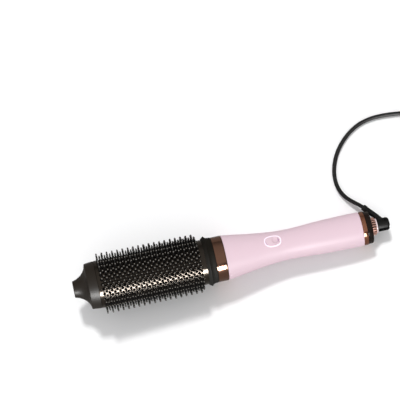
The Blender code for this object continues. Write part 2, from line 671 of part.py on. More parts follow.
def plug():
    """A generic two-pin plug lying flat, its face towards -Y."""
    back = PLUG_FACE_Y + PLUG_LENGTH
    outline = [(-18.5, PLUG_FACE_Y), (18.5, PLUG_FACE_Y), (18.5, PLUG_FACE_Y + 12), (16, PLUG_FACE_Y + 20),
               (10, PLUG_FACE_Y + 29), (6, back), (-6, back), (-10, PLUG_FACE_Y + 29),
               (-16, PLUG_FACE_Y + 20), (-18.5, PLUG_FACE_Y + 12)]
    middle = PLUG_HEIGHT / 2
    body = prism("plug_body", [(PLUG_X + x, y) for x, y in outline], 0, PLUG_HEIGHT, None)
    relief = rod("plug_relief", 4.5, (PLUG_X, back + GAP, middle), (PLUG_X, back + 17, middle), None, 3.1)
    pins = []
    for name, side in (("plug_pin_a", -1), ("plug_pin_b", 1)):
        x = PLUG_X + side * PLUG_PIN_SPACING / 2
        pins.append(rod(name, PLUG_PIN_R, (x, PLUG_FACE_Y - GAP, middle),
                        (x, PLUG_FACE_Y - PLUG_PIN_LENGTH, middle), None, 2.0, 20))
    return {BLACK: [body, relief], STEEL: pins}


def finish(groups):
    """Give every piece its material and smooth its round faces."""
    for group in groups:
        for given, objects in group.items():
            for obj in objects:
                if not obj.data.materials:
                    obj.data.materials.append(given)
                    obj.data.shade_smooth()
                    obj.data.set_sharp_from_angle(angle=SMOOTH_ANGLE)


clear_scene()
PARTS = collection_named("hot_air_brush")
TOOL = frame("tool_frame", TOOL_FRAME)
BUTTON_SIDE = frame("button_frame", Matrix.Rotation(-BUTTON_TURN, 4, "X"), TOOL)
SWIVEL = frame("swivel_frame", Matrix.Rotation(-SWIVEL_DROP, 4, "X"), TOOL)

BLACK = material("black_plastic", (0.02, 0.02, 0.02), 0.45)
GLOSS = material("gloss_black", (0.015, 0.012, 0.011), 0.12)
RUBBER = material("guard_rubber", (0.035, 0.035, 0.03), 0.75)
BRONZE = material("bronze_metal", (0.23, 0.18, 0.12), 0.22, 1)
COPPER = material("copper_metal", (0.45, 0.25, 0.17), 0.15, 1)
PINK = material("pink_shell", (0.78, 0.62, 0.68), 0.35)
LIGHT = material("light_guide", (1, 0.97, 0.95), 0.4, 0, 1.5)
BRISTLE = material("bristle_nylon", (0.012, 0.012, 0.012), 0.4)
STEEL = material("steel", (0.5, 0.5, 0.5), 0.3, 1)
BOARD = material("circuit_board", (0.03, 0.16, 0.07), 0.5)
MICA = material("mica", (0.5, 0.42, 0.3), 0.6)

finish([nose(), barrel(), collars(), handle(), electronics(), heater(), motor(), rear_end(), swivel(),
        cord(), plug()])
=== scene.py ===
import json
import math
import random

import bmesh
import bpy
import numpy as np
from mathutils import Matrix, Vector


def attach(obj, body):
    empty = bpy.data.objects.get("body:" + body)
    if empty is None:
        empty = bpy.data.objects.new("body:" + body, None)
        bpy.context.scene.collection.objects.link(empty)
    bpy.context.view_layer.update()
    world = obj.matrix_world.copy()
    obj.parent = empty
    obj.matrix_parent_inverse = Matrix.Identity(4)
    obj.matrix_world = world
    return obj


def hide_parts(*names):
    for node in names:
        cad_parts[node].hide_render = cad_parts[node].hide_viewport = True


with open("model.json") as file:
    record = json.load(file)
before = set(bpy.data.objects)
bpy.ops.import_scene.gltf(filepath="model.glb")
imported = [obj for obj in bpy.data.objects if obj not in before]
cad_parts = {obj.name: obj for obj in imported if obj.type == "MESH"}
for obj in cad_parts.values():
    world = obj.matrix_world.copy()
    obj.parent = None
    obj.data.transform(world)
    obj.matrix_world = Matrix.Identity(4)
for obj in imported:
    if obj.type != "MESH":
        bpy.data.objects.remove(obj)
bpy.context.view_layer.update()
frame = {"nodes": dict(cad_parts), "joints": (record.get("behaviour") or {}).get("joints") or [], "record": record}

# The looks of a hot air brush. Shapes are drawn in millimetres in the tool's own frame: X runs along
# its axis from the flat nose (station 0) to the cord swivel, and Z is the tool's upper side.

MM = 0.001
GAP = 0.3  # between neighbouring pieces
RNG = random.Random(7)

# Stations along the axis, and radii.
FLARE_END, BARREL_START, BARREL_END = 16.5, 27.0, 149.0
GUARD_START, GUARD_RIDGE, GUARD_END, COLLAR_END = 147.5, 151.0, 158.0, 169.5
HANDLE_START, HANDLE_END, TRIM_END, CAP_END = 170.0, 324.5, 329.5, 335.7
CORD_COLLAR_END, RIM_END, TOOL_END = 341.2, 343.0, 357.0
NOSE_R, FLARE_R, BARREL_FRONT_R, BARREL_REAR_R, BARREL_WALL = 9.2, 25.2, 26.3, 24.8, 0.8
RIDGE_R, BAND_R, TRIM_R, CAP_R = 28.0, 25.1, 18.8, 18.3
CORD_COLLAR_R, RIM_R, SWIVEL_R, SHAFT_R = 9.9, 8.2, 7.2, 5.0
BORE_R = 5.4  # through the end cap, the ribbed collar and the bright rim, round the swivel's shaft
HANDLE = [(170, 25.0), (187, 22.6), (209, 19.3), (226, 17.5), (242, 16.8),
          (258, 17.3), (281, 18.45), (308, 19.0), (324.5, 18.9)]
HANDLE_WALL = 2.0

# The barrel's vents, in rows along it. Every second row starts half a pitch further along, so the
# vents' diamond cells fit together: there are twice as many half rows as rows.
ROWS, COLUMNS = 30, 19
FIRST_COLUMN, LAST_COLUMN = 31.9, 138.05
PITCH = (LAST_COLUMN - FIRST_COLUMN) / (COLUMNS - 1)
HALF_PITCH, HALF_TURN = PITCH / 2, math.pi / ROWS  # half a cell along the axis, and round it
VENT_POINTS, VENT_SHARE, VENT_POWER = 24, 0.65, 1.3
# A cell's section from its outer edge into the vent and back: share of the cell's edge, share of the
# vent's edge, and depth.
CELL_SECTION = [(1.0, 0.0, 0.0), (0.0, 1.1, 0.0), (0.0, 1.03, 0.06), (0.0, 1.0, 0.25),
                (0.0, 1.0, BARREL_WALL), (1.0, 0.0, BARREL_WALL)]

# The bristles, one in each vent: long ones in the even half rows and short ones in the odd half rows.
STRIPS = 10
HALF_ROWS_PER_STRIP = 2 * ROWS // STRIPS
BRISTLE_FOOT = 22.6  # the radius where they start, inside the barrel
LONG_TIPS, SHORT_TIPS = (33.95, 33.05), (31.0, 30.3)  # tip radius at the front and at the rear
BRISTLE_RADII = (1.4, 0.78, 0.8)  # of a long one's foot, neck and ball
SHORT_THICKNESS = 0.92  # a short one's thickness over a long one's
LENGTH_SPREAD, LEAN_DEGREES = 0.25, 1.2
BAR_START, BAR_END, BAR_HALF_WIDTH, BAR_LOW, BAR_HIGH = 30.6, 144.0, 6.3, 21.2, 23.0

# The button, the light round it, and the ball that leaves a dimple for the thumb. Each rise is a
# height over the handle's surface.
BUTTON_STATION, BUTTON_HALF, BUTTON_RISE = 224.4, (8.0, 5.15), 0.55
LIGHT_HALF, LIGHT_RISE = (9.5, 6.75), 0.22
OPENING_GAP = 0.12
BUTTON_LOW, BUTTON_HIGH = 13.3, 20.0
DIMPLE_R, DIMPLE_BEHIND, DIMPLE_HEIGHT = 5.4, 3.0, 21.5

# The end cap's air slots and the cord collar's ribs.
AIR_SLOTS, AIR_SLOT = 12, (11.0, -1.2, 15.5, 1.2)
RIBS, POINTS_PER_RIB, RIB_FLOOR_R = 22, 12, 8.6

# The swivel's slot, the pin across it and the arm on the pin.
FORK_START, FORK_WIDTH = 344.2, 6.4
PIN_R, PIN_PLAY = 1.5, 0.25
EYE_R, ARM_ROOT_R, ARM_R, ARM_END_R = 4.0, 2.9, 3.2, 3.65
ARM_PAST_LEAD = 0.8
GROOVES, GROOVE_PITCH = 4, 1.45

# The cord's route from the arm to the coil, and the coil beside the view.
CORD_D = 4.5
CORD_ROUTE = [(155.1, 24.3, 10.3), (151.0, 28.6, 9.1), (144.4, 34.9, 6.4), (138.2, 42.2, 4.0),
              (133.9, 51.0, 2.6), (132.0, 62.0, 2.25), (133.4, 75.0, 2.25), (138.5, 88.5, 2.25),
              (147.0, 101.0, 2.25), (158.4, 111.8, 2.25), (172.0, 119.6, 2.25), (187.0, 123.3, 2.25),
              (203.0, 123.6, 2.25), (220.0, 121.9, 2.25), (236.0, 120.4, 2.5), (243.0, 120.0, 2.8)]
COIL_CENTRE = (262.0, 85.0)
COIL_MEAN_R, COIL_LIFT = 28.0, 1.2
COIL_TURNS = 4  # turns across, and turns high
# The (column, layer) cells of the coil's section in winding order, from its outer bottom cell.
COIL_CELLS = [(3, 0), (2, 0), (1, 0), (0, 0), (0, 1), (1, 1), (2, 1), (2, 2), (1, 2), (1, 3), (2, 3),
              (3, 3), (3, 2), (3, 1)]
POINTS_PER_TURN = 48
STEP_SHARE = 0.28  # the last share of a turn, in which it moves over to the next cell
TIE_TURN, TIE_HALF_WIDTH, TIE_THICKNESS = math.radians(200), 5.0, 0.8

# The plug, lying flat with its face towards -Y.
PLUG_X = COIL_CENTRE[0] + COIL_MEAN_R + 1.5 * CORD_D
PLUG_FACE_Y, PLUG_LENGTH, PLUG_HEIGHT = 12.0, 37.0, 17.0
PLUG_MIDDLE = PLUG_HEIGHT / 2
PLUG_SECTIONS = [(0, 17.2, 7.3), (0.8, 18.2, 8.2), (6, 18.5, 8.5), (12, 18.4, 8.5), (17, 17.0, 8.3),
                 (22, 14.0, 7.8), (27, 11.0, 7.2), (32, 8.2, 6.4), (36, 6.4, 5.8), (37, 5.6, 5.2)]
RELIEF_LENGTH, RELIEF_R, RELIEF_TAPER = 17.0, 4.5, 1.4
GRIPS, RELIEF_RINGS, PIN_SPACING = 5, 5, 19.0

# The camera: a long lens looking steeply down from the near side, turned about its view, and aimed
# beside the tool.
VIEW_ELEVATION, VIEW_ROLL = math.radians(79), math.radians(-12.65)
VIEW_LENS, VIEW_SENSOR, VIEW_DISTANCE = 204.8, 36.0, 2.53
VIEW_TARGET = (-0.0208, 0.0705, 0.025)

# The light: an even sky, a sun for the floor, a key light for the product, and a strip light that
# only the polished pieces mirror.
SKY = (0.75, 0.75, 0.7575, 1)
SUN_POWER, SUN_SPREAD, SUN_FROM = 2.0, math.radians(8), (0.0, 0.50, 0.86)
KEY_ELEVATION, KEY_DISTANCE, KEY_SIZE, KEY_POWER = math.radians(81), 1.6, (1.5, 1.1), 13
STRIP_ELEVATION, STRIP_DISTANCE, STRIP_SIZE, STRIP_POWER = math.radians(32.5), 0.9, (1.2, 0.26), 40
STRIP_X = -0.38
# What polished pieces mirror, by the height of the reflected direction over the near side: share of a
# half turn from the near floor over the top to the far floor, and its brightness.
REFLECTED = [(0.0, 0.26), (0.1, 0.4), (0.18, 0.03), (0.27, 0.03), (0.33, 0.42), (0.55, 0.4),
             (0.8, 0.32), (1.0, 0.1)]
REFLECTED_TINT = (1.0, 0.96, 0.92)


# ---------------------------------------------------------------- frames

def joint(name):
    return next(j for j in frame["joints"] if j["name"] == name)


def frame_at(origin, along, across, up):
    """The matrix of a frame with its X, Y and Z along three directions."""
    matrix = Matrix((along, across, up)).transposed().to_4x4()
    matrix.translation = origin
    return matrix


def tool_frame():
    mount = next(m for m in frame["record"]["mounts"] if m["name"] == "nose_end")
    along, across = -Vector(mount["axis"]), Vector((0, 1, 0))
    return frame_at(Vector(mount["pos_m"]), along, across, along.cross(across))


def frame_with_up(up):
    """The tool's frame, turned about its axis so Z points along up."""
    along = TOOL.to_3x3() @ Vector((1, 0, 0))
    across = up.cross(along).normalized()
    return frame_at(TOOL.translation, along, across, along.cross(across))


TOOL = tool_frame()
BUTTON_SIDE = frame_with_up(-Vector(joint("button_press")["axis"]))
SWIVEL = frame_with_up(-Vector(joint("arm_fold")["axis"]))
PIVOT = Vector(joint("arm_fold")["pos_m"])
ACROSS = Matrix.Translation(PIVOT) @ SWIVEL.to_3x3().to_4x4()
PIN_FRAME = ACROSS @ Matrix.Rotation(math.pi / 2, 4, "Y").inverted()


# ---------------------------------------------------------------- camera and cord

def link(name, data):
    """A new object of the scene that shows data."""
    obj = bpy.data.objects.new(name, data)
    bpy.context.scene.collection.objects.link(obj)
    return obj


def from_near_side(elevation):
    """The direction to a point over the near side, by its height over the floor."""
    return Vector((0, -math.cos(elevation), math.sin(elevation)))


def add_camera():
    data = bpy.data.cameras.new("camera")
    data.lens, data.sensor_width = VIEW_LENS, VIEW_SENSOR
    data.clip_start, data.clip_end = 0.05, 30
    camera = link("camera", data)
    back = from_near_side(VIEW_ELEVATION)
    camera.location = Vector(VIEW_TARGET) + back * VIEW_DISTANCE
    level = back.to_track_quat("Z", "Y").to_matrix()
    camera.rotation_euler = (level @ Matrix.Rotation(VIEW_ROLL, 3, "Z")).to_euler()
    bpy.context.scene.camera = camera


def smooth(points, step):
    """Points about step apart along a Catmull-Rom curve through the given ones."""
    given = np.array(points, float)
    ends = np.vstack([2 * given[0] - given[1], given, 2 * given[-1] - given[-2]])
    fine = []
    for i in range(len(given) - 1):
        p0, p1, p2, p3 = ends[i:i + 4]
        for t in np.linspace(0, 1, 24, endpoint=False):
            fine.append(0.5 * (2 * p1 + (p2 - p0) * t + (2 * p0 - 5 * p1 + 4 * p2 - p3) * t ** 2
                               + (3 * p1 - p0 - 3 * p2 + p3) * t ** 3))
    fine = np.array([*fine, given[-1]])
    along = np.concatenate([[0], np.cumsum(np.linalg.norm(np.diff(fine, axis=0), axis=1))])
    at = np.linspace(0, along[-1], max(2, round(along[-1] / step)))
    return np.stack([np.interp(at, along, fine[:, k]) for k in range(given.shape[1])], axis=1)


def ease(t):
    """A share from 0 to 1 that starts and ends gently."""
    t = min(1.0, max(0.0, t))
    return t * t * (3 - 2 * t)


def coil_points():
    """A clockwise winding from the coil's +Y side to a quarter turn after it comes to its last cell."""
    points = []
    for i in range((len(COIL_CELLS) - 1) * POINTS_PER_TURN + POINTS_PER_TURN // 4 + 1):
        turn, share = divmod(i / POINTS_PER_TURN, 1)
        here = COIL_CELLS[int(turn)]
        after = COIL_CELLS[min(int(turn) + 1, len(COIL_CELLS) - 1)]
        t = ease((share - 1 + STEP_SHARE) / STEP_SHARE)
        column, layer = (a + (b - a) * t for a, b in zip(here, after))
        radius = COIL_MEAN_R + (column - (COIL_TURNS - 1) / 2) * CORD_D
        angle = math.pi / 2 - math.tau * i / POINTS_PER_TURN
        points.append((COIL_CENTRE[0] + radius * math.cos(angle),
                       COIL_CENTRE[1] + radius * math.sin(angle),
                       COIL_LIFT + CORD_D / 2 + layer * CORD_D))
    return points


def cord_line():
    """The cord's middle line: from the arm along the floor, round the coil, and into the plug."""
    coil = coil_points()
    relief_mouth = PLUG_FACE_Y + PLUG_LENGTH + RELIEF_LENGTH
    tail = [coil[-1], (PLUG_X, COIL_CENTRE[1] - 9, PLUG_MIDDLE - 0.3), (PLUG_X, relief_mouth, PLUG_MIDDLE),
            (PLUG_X, relief_mouth - 4, PLUG_MIDDLE)]
    return [*smooth([*CORD_ROUTE, coil[0]], 3.0)[:-1], *coil[:-1], *smooth(tail, 4.0)]


def add_cord():
    """The whole mains cord as a curve with its thickness, and its length in metres."""
    line = cord_line()
    curve = bpy.data.curves.new("mains_cord_whole", "CURVE")
    curve.dimensions = "3D"
    curve.bevel_depth = CORD_D / 2 * MM
    curve.bevel_resolution = 5
    curve.use_fill_caps = True
    spline = curve.splines.new("POLY")
    spline.points.add(len(line) - 1)
    for point, at in zip(spline.points, line):
        point.co = (at[0] * MM, at[1] * MM, at[2] * MM, 1)
    spline.use_smooth = True
    steps = np.diff(np.array([tuple(p) for p in line]), axis=0)
    length = float(np.linalg.norm(steps, axis=1).sum()) * MM
    return link("mains_cord_whole", curve), length


add_camera()
CORD, CORD_LENGTH = add_cord()


# ---------------------------------------------------------------- materials

def linear(*srgb):
    """A colour from 0 to 255 sRGB values."""
    shares = [c / 255 for c in srgb]
    return tuple(s / 12.92 if s <= 0.04045 else ((s + 0.055) / 1.055) ** 2.4 for s in shares)


def connect(tree, node, inputs):
    """Give a node's inputs what they take: a value, or another node's output."""
    for key, value in inputs.items():
        if isinstance(value, bpy.types.NodeSocket):
            tree.links.new(value, node.inputs[key])
        else:
            node.inputs[key].default_value = value


def add_node(tree, kind, inputs=None, **settings):
    """A new node with its settings and inputs."""
    node = tree.nodes.new(kind)
    for name, value in settings.items():
        setattr(node, name, value)
    connect(tree, node, inputs or {})
    return node


def mixed(tree, factor, first, second):
    """The output of a node that mixes two colours."""
    inputs = {"Factor": factor, "A": first, "B": second}
    return add_node(tree, "ShaderNodeMix", inputs, data_type="RGBA").outputs["Result"]


def noise(tree, place, size, detail):
    """The output of a noise with features of about size metres."""
    inputs = {"Vector": place.outputs["Object"], "Scale": 1 / size, "Detail": detail}
    return add_node(tree, "ShaderNodeTexNoise", inputs).outputs["Fac"]


def nose_facing(tree, place):
    """The output of how far the surface faces the tool's nose, from 0 to 1: the mask of a painted shade."""
    nose = TOOL.to_3x3() @ Vector((-1, 0, 0))
    facing = add_node(tree, "ShaderNodeVectorMath", {0: place.outputs["Normal"], 1: nose},
                      operation="DOT_PRODUCT")
    inputs = {"Value": facing.outputs["Value"], "From Min": 0.4, "From Max": 0.7}
    return add_node(tree, "ShaderNodeMapRange", inputs).outputs["Result"]


def surface(name, colour, roughness, metallic=0.0, specular=0.5, patch=0.02, variation=0.06,
            grain=0.0004, bump=0.05, lit_tip_colour=None, nose_facing_shade=None, glow=None):
    """A Principled material with a slow colour drift, uneven roughness and a fine moulded grain.
    patch and grain are the sizes of the drift and the grain in metres. lit_tip_colour is painted light
    that goes where the mesh's tip attribute is 1, nose_facing_shade is painted shade where the surface
    faces the nose, and glow is the colour and strength of the light it gives off."""
    material = bpy.data.materials.new(name)
    material.use_nodes = True
    tree = material.node_tree
    place = add_node(tree, "ShaderNodeTexCoord")
    drift = noise(tree, place, patch, 3)
    darker = [c * (1 - variation) for c in colour]
    lighter = [min(1, c * (1 + variation)) for c in colour]
    result = mixed(tree, drift, (*darker, 1), (*lighter, 1))
    # Painted light on the tips that the tip attribute marks.
    if lit_tip_colour:
        tip = add_node(tree, "ShaderNodeAttribute", attribute_name="tip")
        result = mixed(tree, tip.outputs["Fac"], result, (*lit_tip_colour, 1))
    # Painted shade where the surface faces the nose.
    if nose_facing_shade:
        result = mixed(tree, nose_facing(tree, place), result, (*nose_facing_shade, 1))
    relief = add_node(tree, "ShaderNodeBump", {"Height": noise(tree, place, grain, 2), "Strength": bump,
                                               "Distance": grain / 2})
    rough = add_node(tree, "ShaderNodeMapRange", {"Value": drift, "To Min": max(0.02, roughness - 0.05),
                                                  "To Max": min(1, roughness + 0.05)})
    shader = tree.nodes["Principled BSDF"]
    connect(tree, shader, {"Base Color": result, "Metallic": metallic, "Specular IOR Level": specular,
                           "Roughness": rough.outputs["Result"], "Normal": relief.outputs["Normal"]})
    if glow:
        connect(tree, shader, {"Emission Color": (*glow[0], 1), "Emission Strength": glow[1]})
    return material


PINK_COLOUR = linear(222, 196, 206)

NOSE_PLASTIC = surface("nose_plastic", linear(38, 32, 26), 0.42, specular=0.25, grain=0.00025, bump=0.12)
BRONZE = surface("bronze_metal", linear(79, 73, 67), 0.17, 1.0, patch=0.03, grain=0.0008, bump=0.015)
COPPER = surface("copper_metal", linear(154, 116, 98), 0.12, 1.0, patch=0.03, grain=0.0008, bump=0.01)
# A lighter copy of the copper for the rear trim ring: painted light on the ring.
LIT_TRIM_COPPER = surface("trim_copper_lit", linear(196, 136, 110), 0.16, 1.0, grain=0.0008, bump=0.01)
PINK = surface("pink_shell", PINK_COLOUR, 0.46, specular=0.25, patch=0.04, variation=0.015,
               grain=0.0005, bump=0.03)
# The button's wall that faces the nose, the dimple's steep tail-side wall, gets a painted mauve shade.
BUTTON_PINK = surface("button_pink", PINK_COLOUR, 0.42, specular=0.25, variation=0.015, grain=0.0005,
                      bump=0.03, nose_facing_shade=linear(150, 96, 150))
# A lighter copy of the pink shell for the rim: a painted highlight on the rim's edge.
LIT_RIM_PINK = surface("rim_pink_highlight", linear(246, 226, 228), 0.22, patch=0.03, variation=0.02, bump=0.02)
LIGHT = surface("light_guide", linear(226, 210, 222), 0.35, patch=0.01, variation=0.02, bump=0.02,
                glow=((1, 0.9, 0.99), 0.36))
# The bristles' light grey tips are painted highlights on their ball ends.
BRISTLE = surface("bristle_nylon", linear(12, 11, 11), 0.38, specular=0.3, patch=0.01, variation=0.3,
                  bump=0.04, lit_tip_colour=linear(122, 118, 112))
RUBBER = surface("guard_rubber", linear(24, 21, 15), 0.75, specular=0.15, patch=0.012, variation=0.12,
                 grain=0.0003, bump=0.2)
GLOSS = surface("gloss_black", linear(28, 18, 14), 0.22, specular=0.25, patch=0.03, bump=0.01)
# The collar's dark base colour is painted shade in the gaps between the ribs; the rib tops get the lighter copper.
RIB_COPPER = surface("rib_copper", linear(78, 48, 38), 0.3, 0.55, patch=0.01, variation=0.05,
                     bump=0.03, lit_tip_colour=linear(226, 176, 160))
BLACK = surface("black_plastic", linear(15, 15, 14), 0.45, specular=0.3, patch=0.015, variation=0.15,
                grain=0.0003, bump=0.15)
CORD_BLACK = surface("cord_sheath", linear(17, 17, 17), 0.5, patch=0.01, variation=0.15, grain=0.0003,
                     bump=0.15)
DARK_STEEL = surface("dark_steel", linear(46, 46, 47), 0.4, 1.0, patch=0.004, variation=0.1,
                     grain=0.0002, bump=0.06)
STEEL = surface("steel", linear(176, 176, 178), 0.28, 1.0, patch=0.01, variation=0.08, grain=0.0002,
                bump=0.06)
BRASS = surface("brass_pin", linear(204, 190, 150), 0.22, 1.0, patch=0.01, bump=0.03)
BOARD = surface("circuit_board", linear(34, 92, 58), 0.4, patch=0.004, variation=0.25, grain=0.0006,
                bump=0.1)
MICA = surface("mica_sheet", linear(196, 180, 146), 0.5, patch=0.005, variation=0.2, grain=0.0006,
               bump=0.2)
WIRE = surface("heater_wire", linear(150, 142, 136), 0.35, 1.0, patch=0.004, variation=0.2, bump=0.1)


# ---------------------------------------------------------------- mesh tools

def publish(obj, given, body, slot, *nodes, angle=35):
    """Finish a piece: its material, its shading, the body it rides on and the nodes it stands for."""
    obj.data.materials.clear()
    obj.data.materials.append(given)
    if obj.type == "MESH":
        obj.data.shade_smooth()
        obj.data.set_sharp_from_angle(angle=math.radians(angle))
    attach(obj, body)
    if nodes:
        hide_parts(*nodes)
    return obj


def add_grid(points, faces, rows, closed=True, looped=False):
    """Add rows of points and the faces between each row and the next. In a closed grid every row is a
    loop, and in a looped one the last row meets the first."""
    start, count = len(points), len(rows[0])
    for row in rows:
        points += row
    for level in range(len(rows) - (0 if looped else 1)):
        here, there = start + level * count, start + (level + 1) % len(rows) * count
        for i in range(count - (0 if closed else 1)):
            j = (i + 1) % count
            faces.append((here + i, here + j, there + j, there + i))


def raw_mesh(name, points, faces, matrix):
    """A mesh object from points in millimetres in the frame that matrix gives."""
    where = np.array(points, float).reshape(-1, 3) * MM
    m = np.array(matrix, float)
    mesh = bpy.data.meshes.new(name)
    mesh.from_pydata((where @ m[:3, :3].T + m[:3, 3]).tolist(), [], faces)
    return link(name, mesh)


def solid(name, points, faces, matrix):
    """A mesh object with its doubled points merged and its faces turned outwards."""
    obj = raw_mesh(name, points, faces, matrix)
    bm = bmesh.new()
    bm.from_mesh(obj.data)
    bmesh.ops.remove_doubles(bm, verts=bm.verts, dist=2e-6)
    bmesh.ops.recalc_face_normals(bm, faces=bm.faces)
    bm.to_mesh(obj.data)
    bm.free()
    return obj


def set_tips(obj, tips):
    """Each point's share of the material's painted tip light."""
    attribute = obj.data.attributes.new("tip", "FLOAT", "POINT")
    attribute.data.foreach_set("value", np.array(tips, np.float32))


def rounded(outline, steps=4):
    """An outline of (x, y, radius) corners, with an arc at each corner that has a radius."""
    points = []
    count = len(outline)
    for i, (x, y, radius) in enumerate(outline):
        here = Vector((x, y))
        if radius <= 0:
            points.append((x, y))
            continue
        before = (Vector(outline[i - 1][:2]) - here).normalized()
        after = (Vector(outline[(i + 1) % count][:2]) - here).normalized()
        half = before.angle(after) / 2
        reach = radius / math.tan(half)
        middle = here + (before + after).normalized() * (radius / math.sin(half))
        start, end = here + before * reach - middle, here + after * reach - middle
        sweep = start.angle_signed(end)
        for k in range(steps + 1):
            a = -sweep * k / steps
            points.append((middle.x + start.x * math.cos(a) - start.y * math.sin(a),
                           middle.y + start.x * math.sin(a) + start.y * math.cos(a)))
    return points


def rectangle(x0, y0, x1, y1, radius=0.0, steps=4):
    """A rectangle's outline, with rounded corners where a radius is given."""
    return rounded([(x0, y0, radius), (x1, y0, radius), (x1, y1, radius), (x0, y1, radius)], steps)


def oval(half_length, half_width, centre=(0, 0), power=2.5, count=96):
    """An oval's outline. The higher the power, the squarer it is; 2 makes an ellipse."""
    points = []
    for i in range(count):
        c, s = math.cos(math.tau * i / count), math.sin(math.tau * i / count)
        points.append((centre[0] + math.copysign(abs(c) ** (2 / power), c) * half_length,
                       centre[1] + math.copysign(abs(s) ** (2 / power), s) * half_width))
    return points


def lathe(name, outline, matrix=None, segments=128):
    """A solid turned about the axis. The outline goes once round its section, or from axis to axis."""
    outline = [(s, max(r, 0.0)) for s, r in outline]
    count = len(outline)
    open_ends = outline[0][1] < 1e-6 and outline[-1][1] < 1e-6
    turn = [math.tau * i / segments for i in range(segments)]
    points = [(s, r * math.sin(a), r * math.cos(a)) for a in turn for s, r in outline]
    faces = []
    for i in range(segments):
        j = (i + 1) % segments
        for k in range(count - (1 if open_ends else 0)):
            m = (k + 1) % count
            a, b, c, d = i * count + k, i * count + m, j * count + m, j * count + k
            if outline[k][1] < 1e-6:
                faces.append((a, b, c))
            elif outline[m][1] < 1e-6:
                faces.append((a, b, d))
            else:
                faces.append((a, b, c, d))
    return solid(name, points, faces, matrix or TOOL)


def loft(name, loops, matrix):
    """A solid through loops of points, flat at its first and last loop."""
    points, faces, count = [], [], len(loops[0])
    add_grid(points, faces, loops)
    faces += [tuple(range(count)), tuple(range(len(points) - count, len(points)))]
    return solid(name, points, faces, matrix)


def prism(name, outline, low, high, matrix):
    """An outline in XY between two heights."""
    return loft(name, [[(x, y, z) for x, y in outline] for z in (low, high)], matrix)


def apply_modifiers(obj):
    """Replace the mesh with the one its modifiers make of it."""
    bpy.context.view_layer.update()
    graph = bpy.context.evaluated_depsgraph_get()
    mesh = bpy.data.meshes.new_from_object(obj.evaluated_get(graph))
    old = obj.data
    obj.modifiers.clear()
    obj.data = mesh
    bpy.data.meshes.remove(old)


def combine(obj, other, operation):
    """Cut, join or intersect obj with other, which is used up."""
    modifier = obj.modifiers.new(operation, "BOOLEAN")
    modifier.object, modifier.operation, modifier.solver = other, operation, "EXACT"
    apply_modifiers(obj)
    bpy.data.objects.remove(other)
    return obj


def united(pieces):
    """The pieces joined into the first one."""
    first, *others = pieces
    for other in others:
        combine(first, other, "UNION")
    return first


def soften(obj, width, segments, angle):
    """Round the sharp edges."""
    bevel = obj.modifiers.new("soften", "BEVEL")
    bevel.width, bevel.segments, bevel.limit_method = width * MM, segments, "ANGLE"
    bevel.angle_limit = math.radians(angle)
    bevel.harden_normals = False
    apply_modifiers(obj)
    return obj


HANDLE_CURVE = smooth(HANDLE, 0.8)


def handle_radius(station):
    return float(np.interp(station, HANDLE_CURVE[:, 0], HANDLE_CURVE[:, 1]))


def barrel_radius(station):
    share = (station - BARREL_START) / (BARREL_END - BARREL_START)
    return BARREL_FRONT_R + (BARREL_REAR_R - BARREL_FRONT_R) * share


# ---------------------------------------------------------------- nose and barrel

def add_nose():
    reach, taper, count = FLARE_END - 0.5, 2.4, 28
    flare = []
    for i in range(count):
        share = math.sin(math.pi / 2 * i / (count - 1))
        rise = (FLARE_R - NOSE_R - taper) * (1 - math.sqrt(max(0.0, 1 - share ** 2)))
        flare.append((reach * share, NOSE_R + taper * share + rise))
    rim = BARREL_START - GAP
    face = [(0.5, 0), (0.5, 3.2), (0.25, 3.6), (0, 4.0), (0, NOSE_R - 0.5), (0.15, NOSE_R - 0.15)]
    lip = [(FLARE_END - 0.2, FLARE_R - 0.15), (FLARE_END + 0.1, FLARE_R + 0.05),
           (rim - 0.35, BARREL_FRONT_R), (rim, BARREL_FRONT_R - 0.3), (rim, 25.05), (30, 25.05),
           (30, 23.6), (19.5, 23.6), (18.2, 14), (11, 9), (3.5, 7), (3.5, 0)]
    nose = lathe("nose_cap", [*face, *flare[1:-1], *lip])
    publish(nose, NOSE_PLASTIC, "housing", "black_plastic", "nose_tip")


def row_phase(half_row):
    """How far along a row starts, in pitches."""
    return 0.5 if half_row % 2 else 0.0


def barrel_point(station, angle, depth):
    radius = barrel_radius(station) - depth
    return (station, radius * math.sin(angle), radius * math.cos(angle))


def vent_ring():
    """Pairs of points round a vent, in half cells: on its diamond cell's edge, and on its own edge."""
    ring = []
    for i in range(VENT_POINTS):
        c, s = math.cos(math.tau * i / VENT_POINTS), math.sin(math.tau * i / VENT_POINTS)
        reach = abs(c) + abs(s)
        vent = [VENT_SHARE * math.copysign(abs(v) ** (2 / VENT_POWER), v) for v in (c, s)]
        ring.append(((c / reach, s / reach), vent))
    return ring


def vent_cell(ring, half_row, column):
    """The rows of points of one cell with its vent."""
    middle = FIRST_COLUMN + PITCH * (column + row_phase(half_row))
    rows = []
    for cell_share, vent_share, depth in CELL_SECTION:
        row = []
        for cell, vent in ring:
            along, around = (cell_share * a + vent_share * b for a, b in zip(cell, vent))
            row.append(barrel_point(middle + along * HALF_PITCH, (half_row + around) * HALF_TURN, depth))
        rows.append(row)
    return rows


def add_barrel_end(points, faces, shares, line, corner, end, first):
    """One plain end of the barrel: a ring from a line round the barrel to the end, and half cells that
    fill the lattice's notches up to the line. The notches are at every second half row from first on,
    and corner is the station of their points."""
    angles = []
    for half_row in range(first, 2 * ROWS, 2):
        around = [(half_row + share) * HALF_TURN for share in shares]
        for depth in (0, BARREL_WALL):
            straight = [barrel_point(line, angle, depth) for angle in around]
            slanted = [barrel_point(corner + (line - corner) * abs(share), angle, depth)
                       for share, angle in zip(shares, around)]
            add_grid(points, faces, [straight, slanted], closed=False)
        angles += around[:-1]
    section = [(line, 0), (end, 0), (end, BARREL_WALL), (line, BARREL_WALL)]
    add_grid(points, faces, [[barrel_point(s, angle, depth) for angle in angles] for s, depth in section])


